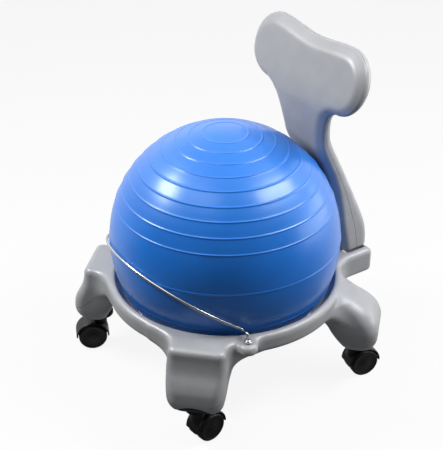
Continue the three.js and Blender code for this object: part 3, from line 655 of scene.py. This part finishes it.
def end_cap_pieces():
    for name, angle in CORNERS.items():
        c, s = math.cos(math.radians(angle)), math.sin(math.radians(angle))

        def outward(x, y):
            """A place seen from the leg as a place about the ball's axis."""
            return c * x - s * y, s * x + c * y

        def cap_field(x, y, z):
            wx, wy = outward(x, y)
            lip = np.maximum(notch_field(wx, wy, z, angle, -LIP_GAP), LIP_UNDER - z)
            lip = smooth_max(lip, leg_field(wx, wy, z, name) + LIP_INSET, LIP_ROUNDING)
            away = np.sqrt((x - STEM_FROM_AXIS) ** 2 + y ** 2)
            depth = np.abs(z - CAP_MIDDLE) - CAP_HALF_THICKNESS
            disc = smooth_max(away - CAP_RADIUS, depth, CAP_ROUNDING)
            length = np.abs(z - SLEEVE_MIDDLE) - SLEEVE_HALF_LENGTH
            sleeve = np.maximum(away - SLEEVE_RADIUS, length)
            cap = np.minimum(np.minimum(lip, disc), sleeve)
            return np.maximum(cap, SLEEVE_BORE - away)

        def onto_leg(vertices):
            x, y, z = vertices.T
            return np.stack([*outward(x, y), z], axis=1)

        low, high, step = (199, -50, 64), (258, 50, 102), 1.0
        vertices, quads = solid_mesh(cap_field, low, high, step, rounds=1)
        piece(f"foot_cap_{name}", vertices, quads, "chair_base", NYLON,
              [f"end_cap_{name}"], turn=onto_leg)


# Backrest

FOOT_Z = 184
FOOT_TRIM = 1  # the foot's underside lies lower by this
FOOT_ROUNDING = 3

# Half width and height up to the start of the lobe
HALF_WIDTHS = [
    (70, 150), (70, 184), (69, 200), (66.5, 222), (61.5, 250), (57, 278), (53.5, 310),
    (52, 345), (52.2, 375), (54, 400), (58, 421), (62.5, 436), (68, 448), (76, 458), (88, 465.5),
]
LOBE = (89, 519, 53)  # place across, height and radius
LOBE_STEPS = 32
DIP_STEPS = 24
DIP_HALF_DEPTH = 3.5  # of the top edge between the lobes

# Height, front face, rear face
BACKREST_FACES = [
    [150, 203, 250], [184, 201, 251], [200, 199, 252], [215, 197, 251.5], [230, 194.5, 249],
    [262, 193.5, 238], [296, 188.5, 224], [330, 177, 209], [358, 163, 195], [386, 149.5, 181],
    [400, 147, 175], [420, 143.5, 171], [450, 140, 166], [465, 138, 164], [480, 139, 165],
    [500, 143, 169], [520, 149, 175], [545, 156, 182], [575, 165, 191],
]
FACE_SPREAD = 5.0  # rounding off between the rows

# Bevels round the front and the rear edge
FRONT_BEVEL_WIDTH = 13  # along the face
FRONT_BEVEL_DEPTH = 9
FRONT_BEVEL_SLANT = 15.81  # the long side of these two
FRONT_ROUNDING = 3
REAR_BEVEL = 5
REAR_BEVEL_SHARE = 0.707  # at 45 degrees
REAR_ROUNDING = 5

# Tongue in the bracket's slot: centre, half sizes and rounding
TONGUE = ((0, 211.9, 169), (45, 7, 29), 2)
TONGUE_TOP = 196


def backrest_outline():
    """The front view's edge as points of [x, z]."""
    cx, cz, radius = LOBE
    right = list(HALF_WIDTHS)
    for i in range(1, LOBE_STEPS + 1):
        angle = math.radians(-90 + 180 * i / LOBE_STEPS)
        right.append((cx + radius * math.cos(angle), cz + radius * math.sin(angle)))
    dip = []
    for i in range(1, DIP_STEPS):
        share = 1 - 2 * i / DIP_STEPS
        drop = DIP_HALF_DEPTH * (1 + math.cos(math.pi * share))
        dip.append((share * cx, cz + radius - drop))
    left = [(-x, z) for x, z in reversed(right)]
    return right + dip + left


OUTLINE = backrest_outline()


def backrest_parts(x, y, z):
    """Distance inside the front view's edge, and the places of the two faces."""
    flat = polygon_distance(OUTLINE, x, z)
    front, rear = smooth_table(BACKREST_FACES, z, FACE_SPREAD)
    return flat, front, rear


def backrest_field(x, y, z):
    flat, front, rear = backrest_parts(x, y, z)
    middle, half = (front + rear) / 2, (rear - front) / 2
    depth = middle - y
    front_bevel = FRONT_BEVEL_DEPTH * flat + FRONT_BEVEL_WIDTH * (depth - half)
    front_bevel = (front_bevel + FRONT_BEVEL_WIDTH * FRONT_BEVEL_DEPTH) / FRONT_BEVEL_SLANT
    rear_bevel = REAR_BEVEL_SHARE * (flat - depth - half) + REAR_BEVEL
    body = smooth_max(np.abs(depth) - half, flat, FRONT_ROUNDING)
    body = smooth_max(body, front_bevel, FRONT_ROUNDING)
    body = smooth_max(body, rear_bevel, REAR_ROUNDING)
    body = smooth_max(body, FOOT_Z - FOOT_TRIM - z, FOOT_ROUNDING)
    tongue = np.maximum(rounded_box(x, y, z, *TONGUE), z - TONGUE_TOP)
    return np.minimum(body, tongue)


def backrest_piece():
    low, high, step = (-146, 134, 136), (146, 258, 578), 2.5
    vertices, quads = solid_mesh(backrest_field, low, high, step)
    _, front, rear = backrest_parts(*vertices.T)
    # the backrest's parting line round its rim: a groove, darkened by the material with painted shade
    seam = vertices[:, 1] - (front + rear) / 2
    piece("backrest_shell", vertices, quads, "chair_base", SILVER,
          ["backrest"], {"seam": seam, "seam_gap": np.zeros(len(vertices))})


# Ball

RIBS = [78.8, 71.9, 65.0, 57.7, 50.6, 43.2, 36.3, 28.9, 21.3]  # latitudes, on both halves
MIDDLE_RIB = 1.8
RIB_HEIGHT = 0.85
RIB_WIDTH = 0.4  # in degrees
RIB_REACH = 0.9  # to each side of a rib, in degrees, where the bands are finer
RIB_BANDS = 15
BALL_BANDS = 120
BALL_SIDES = 144


def ball_piece():
    centres = [s * rib for rib in RIBS for s in (1, -1)] + [MIDDLE_RIB]
    latitudes = set(np.linspace(-90, 90, BALL_BANDS).round(3).tolist())
    for centre in centres:
        beside = np.linspace(-RIB_REACH, RIB_REACH, RIB_BANDS)
        latitudes |= {round(centre + offset, 3) for offset in beside}
    profile = []
    for latitude in sorted(latitudes):
        rise = sum(RIB_HEIGHT * math.exp(-((latitude - c) / RIB_WIDTH) ** 2) for c in centres)
        radius = BALL_RADIUS + rise
        angle = math.radians(latitude)
        profile.append((radius * math.cos(angle), BALL_Z + radius * math.sin(angle)))
    profile[0] = (0, profile[0][1])
    profile[-1] = (0, profile[-1][1])
    vertices, faces = lathe(profile, BALL_SIDES)
    piece("ball_skin", vertices, faces, "ball_body", VINYL, ["ball"])


# Retainer wire and its screws

SCREW_FROM_AXIS = 207.7
LUG_X = SCREW_FROM_AXIS * math.cos(math.radians(LUG_ANGLE))
LUG_Y = -SCREW_FROM_AXIS * math.sin(math.radians(LUG_ANGLE))

WIRE_RADIUS = 2.2
WIRE_SIDES = 16
WIRE_STEPS = 6  # between two points of its path
WIRE_SLOPE = math.radians(34)  # of the plane that the wire's arc lies in
WIRE_GAP = 1  # to the ball
HINGE_RISE = 14  # from the ring's top to that plane at the lugs
ARC_INSET = 20  # from a screw inwards to the end of the arc
ARC_DROP = 4.5
ARC_POINTS = 25
HEAD_GAP = 0.3  # from the screw's head to the wire's upright end
KNEE_INSET = 0.8
KNEE_DROP = 3  # from the sloping plane
UPRIGHT_DROP = 8  # from the sloping plane
EYE_RADIUS = 4.35
EYE_THICKNESS = 3.24
EYE_RISE = 2
EYE_STEPS = 32
EYE_SIDES = 12

SCREW_HEAD_RADIUS = 4.8
SCREW_HEAD_RISE = 4  # from the ring's top to the head's underside
SCREW_DOME_RADIUS = 6.2
SCREW_DOME_DROP = 3.4  # from the head's underside to the dome's centre
SCREW_EDGE_ROUNDING = 0.4
SOCKET_HALF_WIDTH = 2.1
SOCKET_FLOOR = 0.5
SOCKET_ROUNDING = 0.3
SHANK_RADIUS = 2.3
SHANK_TOP = 0.5
SHANK_LENGTH = 13.5


def catmull_rom(points, steps):
    """A smooth curve through points, the same number of steps between each two."""
    points = np.array(points, float)
    ends = np.vstack([2 * points[0] - points[1], points, 2 * points[-1] - points[-2]])
    curve = []
    for i in range(1, len(points)):
        a, b, c, d = ends[i - 1 : i + 3]
        knots = [0]
        for p, q in ((a, b), (b, c), (c, d)):
            knots.append(knots[-1] + np.linalg.norm(q - p) ** 0.5)
        k0, k1, k2, k3 = knots
        for t in np.linspace(k1, k2, steps, endpoint=False):
            ab = (k1 - t) / (k1 - k0) * a + (t - k0) / (k1 - k0) * b
            bc = (k2 - t) / (k2 - k1) * b + (t - k1) / (k2 - k1) * c
            cd = (k3 - t) / (k3 - k2) * c + (t - k2) / (k3 - k2) * d
            abc = (k2 - t) / (k2 - k0) * ab + (t - k0) / (k2 - k0) * bc
            bcd = (k3 - t) / (k3 - k1) * bc + (t - k1) / (k3 - k1) * cd
            curve.append((k2 - t) / (k2 - k1) * abc + (t - k1) / (k2 - k1) * bcd)
    curve.append(points[-1])
    return np.array(curve)


def wire_path():
    """The wire's middle line: an upright end at each lug and a sloping arc round the ball."""
    hinge_z = RING_TOP + HINGE_RISE
    rise = BALL_Z - hinge_z
    centre_q = LUG_Y * math.cos(WIRE_SLOPE) + rise * math.sin(WIRE_SLOPE)
    distance = -LUG_Y * math.sin(WIRE_SLOPE) + rise * math.cos(WIRE_SLOPE)
    reach = BALL_RADIUS + WIRE_GAP + WIRE_RADIUS
    front_q = centre_q + math.sqrt(reach ** 2 - distance ** 2)
    end_x = LUG_X - ARC_INSET
    height = front_q + ARC_DROP
    radius = (height ** 2 + end_x ** 2) / (2 * height)
    sweep = math.atan2(end_x, radius - height)
    arc = []
    for angle in np.linspace(-sweep, sweep, ARC_POINTS):
        q = front_q - radius + radius * math.cos(angle)
        y = LUG_Y - q * math.cos(WIRE_SLOPE)
        arc.append((radius * math.sin(angle), y, hinge_z + q * math.sin(WIRE_SLOPE)))
    inset = SCREW_HEAD_RADIUS + HEAD_GAP + WIRE_RADIUS

    def upright(side):
        points = []
        for pull, z in ((inset, RING_TOP + WIRE_RADIUS), (inset, hinge_z - UPRIGHT_DROP),
                        (inset + KNEE_INSET, hinge_z - KNEE_DROP)):
            share = (SCREW_FROM_AXIS - pull) / SCREW_FROM_AXIS
            points.append((side * LUG_X * share, LUG_Y * share, z))
        return points

    return catmull_rom(upright(-1) + arc + upright(1)[::-1], WIRE_STEPS)


def wire_piece():
    wire, faces = tube(wire_path(), WIRE_RADIUS, WIRE_SIDES)
    vertices, count = [wire], len(wire)
    for side in (-1, 1):
        circle = [(side * LUG_X + EYE_RADIUS * math.cos(a), LUG_Y + EYE_RADIUS * math.sin(a),
                   RING_TOP + EYE_RISE)
                  for a in np.linspace(0, 2 * math.pi, EYE_STEPS, endpoint=False)]
        eye, eye_faces = tube(circle, EYE_THICKNESS / 2, EYE_SIDES, closed=True)
        vertices.append(eye)
        faces += [[v + count for v in face] for face in eye_faces]
        count += len(eye)
    piece("retainer_rod", np.vstack(vertices), faces, "chair_base", CHROME,
          ["retainer_wire"])


def screw_field(x, y, z):
    """A button head with a hexagonal socket on a plain shank, from the head's underside."""
    r = np.sqrt(x * x + y * y)
    dome = np.sqrt(r * r + (z + SCREW_DOME_DROP) ** 2) - SCREW_DOME_RADIUS
    head = smooth_max(np.maximum(dome, r - SCREW_HEAD_RADIUS), -z, SCREW_EDGE_ROUNDING)
    first, second, third = [np.abs(turned(x, y, angle)[0]) for angle in (0, 60, 120)]
    hexagon = np.maximum(first, np.maximum(second, third)) - SOCKET_HALF_WIDTH
    head = smooth_max(head, -np.maximum(hexagon, SOCKET_FLOOR - z), SOCKET_ROUNDING)
    shank = np.maximum(r - SHANK_RADIUS, np.maximum(z - SHANK_TOP, -SHANK_LENGTH - z))
    return np.minimum(head, shank)


def screw_pieces():
    low, high, step = (-5.4, -5.4, -14), (5.4, 5.4, 3.4), 0.3
    vertices, quads = solid_mesh(screw_field, low, high, step, rounds=1)
    for side, name in ((-1, "right"), (1, "left")):
        place = np.array([side * LUG_X, LUG_Y, RING_TOP + SCREW_HEAD_RISE])
        piece(f"button_screw_{name}", vertices + place, quads, "chair_base", SCREW,
              [f"retainer_screw_{name}"])


# Casters, seen from the stem: the wheels trail behind it at +X

TRAIL = 17
AXLE_Z = 25
AXLE_HOLE = 3.3
HOOD_RADIUS = 29
HOOD_HALF_WIDTH = 17
HOOD_ROUNDING = 3
HOOD_UNDER = 24.5
HOOD_UNDER_ROUNDING = 2
WELL_RADIUS = 26.3  # of the room for a wheel
WELL_INNER_FACE = 3.5
WELL_ROUNDING = 1.2
WEB_RADIUS = 27
WEB_HALF_THICKNESS = 3.4
HUB_RADIUS = 7.5
HUB_BLEND = 3
BOSS_RADIUS = 9.5
BOSS_TOP = 64.3
BOSS_UNDER = 40
BOSS_ROUNDING = 1.6
BOSS_BLEND = 5
STEM_HOLE = 5.8
STEM_HOLE_UNDER = 49


def hood_field(x, y, z):
    away = np.sqrt((x - TRAIL) ** 2 + (z - AXLE_Z) ** 2)
    across = np.abs(y)
    cover = smooth_max(away - HOOD_RADIUS, across - HOOD_HALF_WIDTH, HOOD_ROUNDING)
    cover = smooth_max(cover, HOOD_UNDER - z, HOOD_UNDER_ROUNDING)
    well = np.maximum(away - WELL_RADIUS, WELL_INNER_FACE - across)
    hood = smooth_max(cover, -well, WELL_ROUNDING)
    web = np.maximum(away - WEB_RADIUS, across - WEB_HALF_THICKNESS)
    web = smooth_max(web, HOOD_UNDER - z, HOOD_UNDER_ROUNDING)
    hub = np.maximum(away - HUB_RADIUS, across - WEB_HALF_THICKNESS)
    hood = np.minimum(hood, smooth_min(web, hub, HUB_BLEND))
    r = np.sqrt(x * x + y * y)
    length = np.maximum(z - BOSS_TOP, BOSS_UNDER - z)
    boss = smooth_max(r - BOSS_RADIUS, length, BOSS_ROUNDING)
    hood = smooth_min(hood, boss, BOSS_BLEND)
    hood = np.maximum(hood, -well)
    hood = np.maximum(hood, -np.maximum(r - STEM_HOLE, STEM_HOLE_UNDER - z))
    return np.maximum(hood, -(away - AXLE_HOLE))


# Outline of a wheel: radius and distance from the caster's middle plane
WHEEL_PROFILE = [
    (0, 17.2), (3.0, 17.4), (6.5, 17.4), (7.2, 17.0), (8.0, 16.6), (14.0, 16.4), (18.0, 16.3),
    (19.2, 16.6), (20.2, 17.4), (21.6, 17.6), (23.0, 17.1), (24.2, 15.9), (24.8, 14.5), (25.0, 13.0),
    (25.0, 5.2), (24.7, 4.4), (24.0, 4.0), (3.3, 4.0), (3.3, 13.8), (0, 13.8),
]
WHEEL_SIDES = 72


def stem_of(corner):
    """Where a caster's stem meets the floor's plane."""
    angle = math.radians(CORNERS[corner])
    return np.array([STEM_FROM_AXIS * math.cos(angle), STEM_FROM_AXIS * math.sin(angle), 0])


def heading_of(corner):
    """The direction from the stem to the wheels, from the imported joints."""
    places = {j["name"]: j["pos_m"] for j in frame["joints"]}
    stem = places[f"swivel_turn_{corner}"]
    wheel = places[f"roll_left_{corner}"]
    return math.atan2(wheel[1] - stem[1], wheel[0] - stem[0])


def caster_pieces():
    low, high, step = (-13, -18.5, 20), (47.5, 18.5, 66), 1.0
    hood, hood_quads = solid_mesh(hood_field, low, high, step)
    wheel, wheel_faces = lathe(WHEEL_PROFILE[::-1], WHEEL_SIDES)
    for corner in CORNERS:
        turn = heading_of(corner)
        c, s = math.cos(turn), math.sin(turn)
        spin = np.array([[c, s, 0], [-s, c, 0], [0, 0, 1]])
        stem = stem_of(corner)
        piece(f"caster_hood_{corner}", hood @ spin + stem, hood_quads, f"swivel_{corner}",
              NYLON, [f"hood_{corner}"])
        for side, sign in (("left", 1), ("right", -1)):
            disc = np.stack([TRAIL + wheel[:, 0], sign * wheel[:, 2], AXLE_Z + wheel[:, 1]], axis=1)
            faces = wheel_faces if sign < 0 else [face[::-1] for face in wheel_faces]
            piece(f"caster_wheel_{side}_{corner}", disc @ spin + stem, faces,
                  f"roller_{side}_{corner}", NYLON, [f"wheel_{side}_{corner}"])


NODE_MATERIALS = {
    "stem": STEEL, "axle": STEEL, "grip_ring": STEEL, "retainer_insert": BRASS,
    "backrest_insert": BRASS, "backrest_screw": CHROME, "ball_plug": WHITE,
}


def dress_nodes():
    """Materials of the nodes that stay as they are, by the start of their names."""
    for name, obj in frame["nodes"].items():
        for start, material in NODE_MATERIALS.items():
            if name.startswith(start):
                obj.data.materials.clear()
                obj.data.materials.append(material)


# Stage, lights and camera

FLOOR_HALF_SIZE = 30  # in metres

# Share of plain white that each kind of ray sees on the floor
FLOOR_WHITE = {"Is Camera Ray": 0.9, "Is Glossy Ray": 0.02, "Is Transmission Ray": 0.6}

BEHIND_CHAIR = (-0.83, 0.56, 0)  # on the floor, away from the camera
BRIGHT_SKY = (-0.55, 0.37, 0.75)  # the same way and up


def light_rays(owner, weights):
    """A value that is a ray kind's weight for a ray of that kind, and 0 for others."""
    path = node(owner, "ShaderNodeLightPath")
    total = None
    for kind, weight in weights.items():
        part = node(owner, "ShaderNodeMath", operation="MULTIPLY")
        part.inputs[1].default_value = weight
        link(owner, path.outputs[kind], part.inputs[0])
        if total is None:
            total = part.outputs[0]
        else:
            larger = node(owner, "ShaderNodeMath", operation="MAXIMUM")
            link(owner, total, larger.inputs[0])
            link(owner, part.outputs[0], larger.inputs[1])
            total = larger.outputs[0]
    return total


def mix_shaders(owner, share, first, second):
    """A shader that goes from the first to the second with a share."""
    made = node(owner, "ShaderNodeMixShader")
    link(owner, share, made.inputs[0])
    link(owner, first.outputs[0], made.inputs[1])
    link(owner, second.outputs[0], made.inputs[2])
    return made


def toward(owner, coordinates, direction):
    """How far a place or a ray's direction lies towards a direction."""
    place = node(owner, "ShaderNodeTexCoord")
    made = node(owner, "ShaderNodeVectorMath", operation="DOT_PRODUCT")
    made.inputs[1].default_value = direction
    link(owner, place.outputs[coordinates], made.inputs[0])
    return made.outputs["Value"]


def backdrop_material():
    """White to the camera, with a share of the lit floor for its shadow.

    Gloss on the chair shows it dark in front and white behind, as in a studio's tent.
    """
    material = bpy.data.materials.new("backdrop")
    material.use_nodes = True
    material.node_tree.nodes.clear()
    tint = node(material, "ShaderNodeMix", data_type="RGBA")
    tint.inputs[MIX_FIRST].default_value = (0.8, 0.8, 0.8, 1)
    tint.inputs[MIX_SECOND].default_value = (0.13, 0.13, 0.13, 1)
    bounced = light_rays(material, {"Is Diffuse Ray": 1, "Is Glossy Ray": 1})
    link(material, bounced, tint.inputs[0])
    lit = node(material, "ShaderNodeBsdfDiffuse")
    link(material, tint.outputs[MIX_RESULT], lit.inputs["Color"])
    glow = node(material, "ShaderNodeEmission", Color=(1, 1, 1, 1))
    floor = mix_shaders(material, light_rays(material, FLOOR_WHITE), lit, glow)
    rise = map_range(material, toward(material, "Object", BEHIND_CHAIR), "SMOOTHSTEP",
                     From_Min=-0.25, From_Max=0.3, To_Max=0.85)
    glossy = node(material, "ShaderNodeMath", operation="MULTIPLY")
    link(material, light_rays(material, {"Is Glossy Ray": 1}), glossy.inputs[0])
    link(material, rise, glossy.inputs[1])
    floor = mix_shaders(material, glossy.outputs[0], floor, glow)
    out = node(material, "ShaderNodeOutputMaterial")
    link(material, floor.outputs[0], out.inputs["Surface"])
    return material


def add_floor():
    size = FLOOR_HALF_SIZE
    mesh = bpy.data.meshes.new("floor")
    mesh.from_pydata([(-size, -size, 0), (size, -size, 0), (size, size, 0), (-size, size, 0)], [],
                     [(0, 1, 2, 3)])
    floor = bpy.data.objects.new("floor", mesh)
    bpy.context.scene.collection.objects.link(floor)
    mesh.materials.append(backdrop_material())


def dress_world():
    """A weak fill, a pale sky in reflections and near-white to the camera."""
    world = bpy.context.scene.world or bpy.data.worlds.new("world")
    bpy.context.scene.world = world
    world.use_nodes = True
    world.node_tree.nodes.clear()
    fill = node(world, "ShaderNodeBackground", Color=(0.95, 0.97, 1.0, 1), Strength=0.10)
    sky = node(world, "ShaderNodeBackground", Color=(0.97, 0.98, 1.0, 1))
    rise = map_range(world, toward(world, "Generated", BRIGHT_SKY), "SMOOTHSTEP",
                     From_Min=-0.1, From_Max=0.85, To_Min=0.15, To_Max=1.6)
    link(world, rise, sky.inputs["Strength"])
    white = node(world, "ShaderNodeBackground", Color=(0.91, 0.91, 0.91, 1))
    seen = light_rays(world, {"Is Camera Ray": 1, "Is Transmission Ray": 1})
    result = mix_shaders(world, light_rays(world, {"Is Glossy Ray": 1}), fill, sky)
    result = mix_shaders(world, seen, result, white)
    out = node(world, "ShaderNodeOutputWorld")
    link(world, result.outputs[0], out.inputs["Surface"])


def softbox(name, normal, direction, distance, size, power, along=(0, 0, 1)):
    """A rectangular lamp that the ball mirrors at the place with this normal.

    direction and distance lead from there to the lamp, in metres, and the first of its two sizes
    lies along a direction.
    """
    data = bpy.data.lights.new(name, "AREA")
    data.shape = "RECTANGLE"
    data.size, data.size_y = size
    data.energy = power
    lamp = bpy.data.objects.new(name, data)
    bpy.context.scene.collection.objects.link(lamp)
    back = Vector(direction).normalized()
    side = Vector(along) - back * back.dot(Vector(along))
    side.normalize()
    centre = Vector((0, AXIS_Y, BALL_Z)) * MM
    lamp.location = centre + Vector(normal).normalized() * BALL_RADIUS * MM + back * distance
    lamp.rotation_euler = Matrix((side, back.cross(side), back)).transposed().to_euler()


def add_lamps():
    """Four lamps, each where the ball shows its highlight."""
    softbox("left_box", normal=(0.16, -0.66, 0.73), direction=(-0.50, -0.57, 0.65),
            distance=1.3, size=(0.40, 0.50), power=17.5)
    softbox("right_box", normal=(0.67, 0.03, 0.74), direction=(0.39, 0.57, 0.72),
            distance=1.3, size=(0.95, 0.32), power=17, along=(0.36, -0.61, 0.29))
    softbox("low_box", normal=(0.83, 0.39, 0.40), direction=(0.36, 0.90, 0.06),
            distance=1.5, size=(0.55, 1.4), power=8)
    softbox("front_box", normal=(0.45, -0.50, 0.74), direction=(0.12, -0.46, 0.87),
            distance=1.5, size=(0.5, 0.8), power=4)


SENSOR_WIDTH = 36
LENS = 96.73
CAMERA_PLACE = (1.413, -0.953, 1.290)  # in metres, from the floor under the ball's centre
CAMERA_TILT = 59.106
CAMERA_TURN = 56.2


def camera():
    data = bpy.data.cameras.new("camera")
    data.sensor_width = SENSOR_WIDTH
    data.lens = LENS
    obj = bpy.data.objects.new("camera", data)
    bpy.context.scene.collection.objects.link(obj)
    obj.location = Vector(CAMERA_PLACE) + Vector((0, AXIS_Y * MM, 0))
    obj.rotation_euler = (math.radians(CAMERA_TILT), 0, math.radians(CAMERA_TURN))
    bpy.context.scene.camera = obj


camera()
add_floor()
dress_world()
add_lamps()

base_piece()
end_cap_pieces()
backrest_piece()
ball_piece()
wire_piece()
screw_pieces()
caster_pieces()
dress_nodes()

bpy.context.scene.view_settings.view_transform = "Standard"
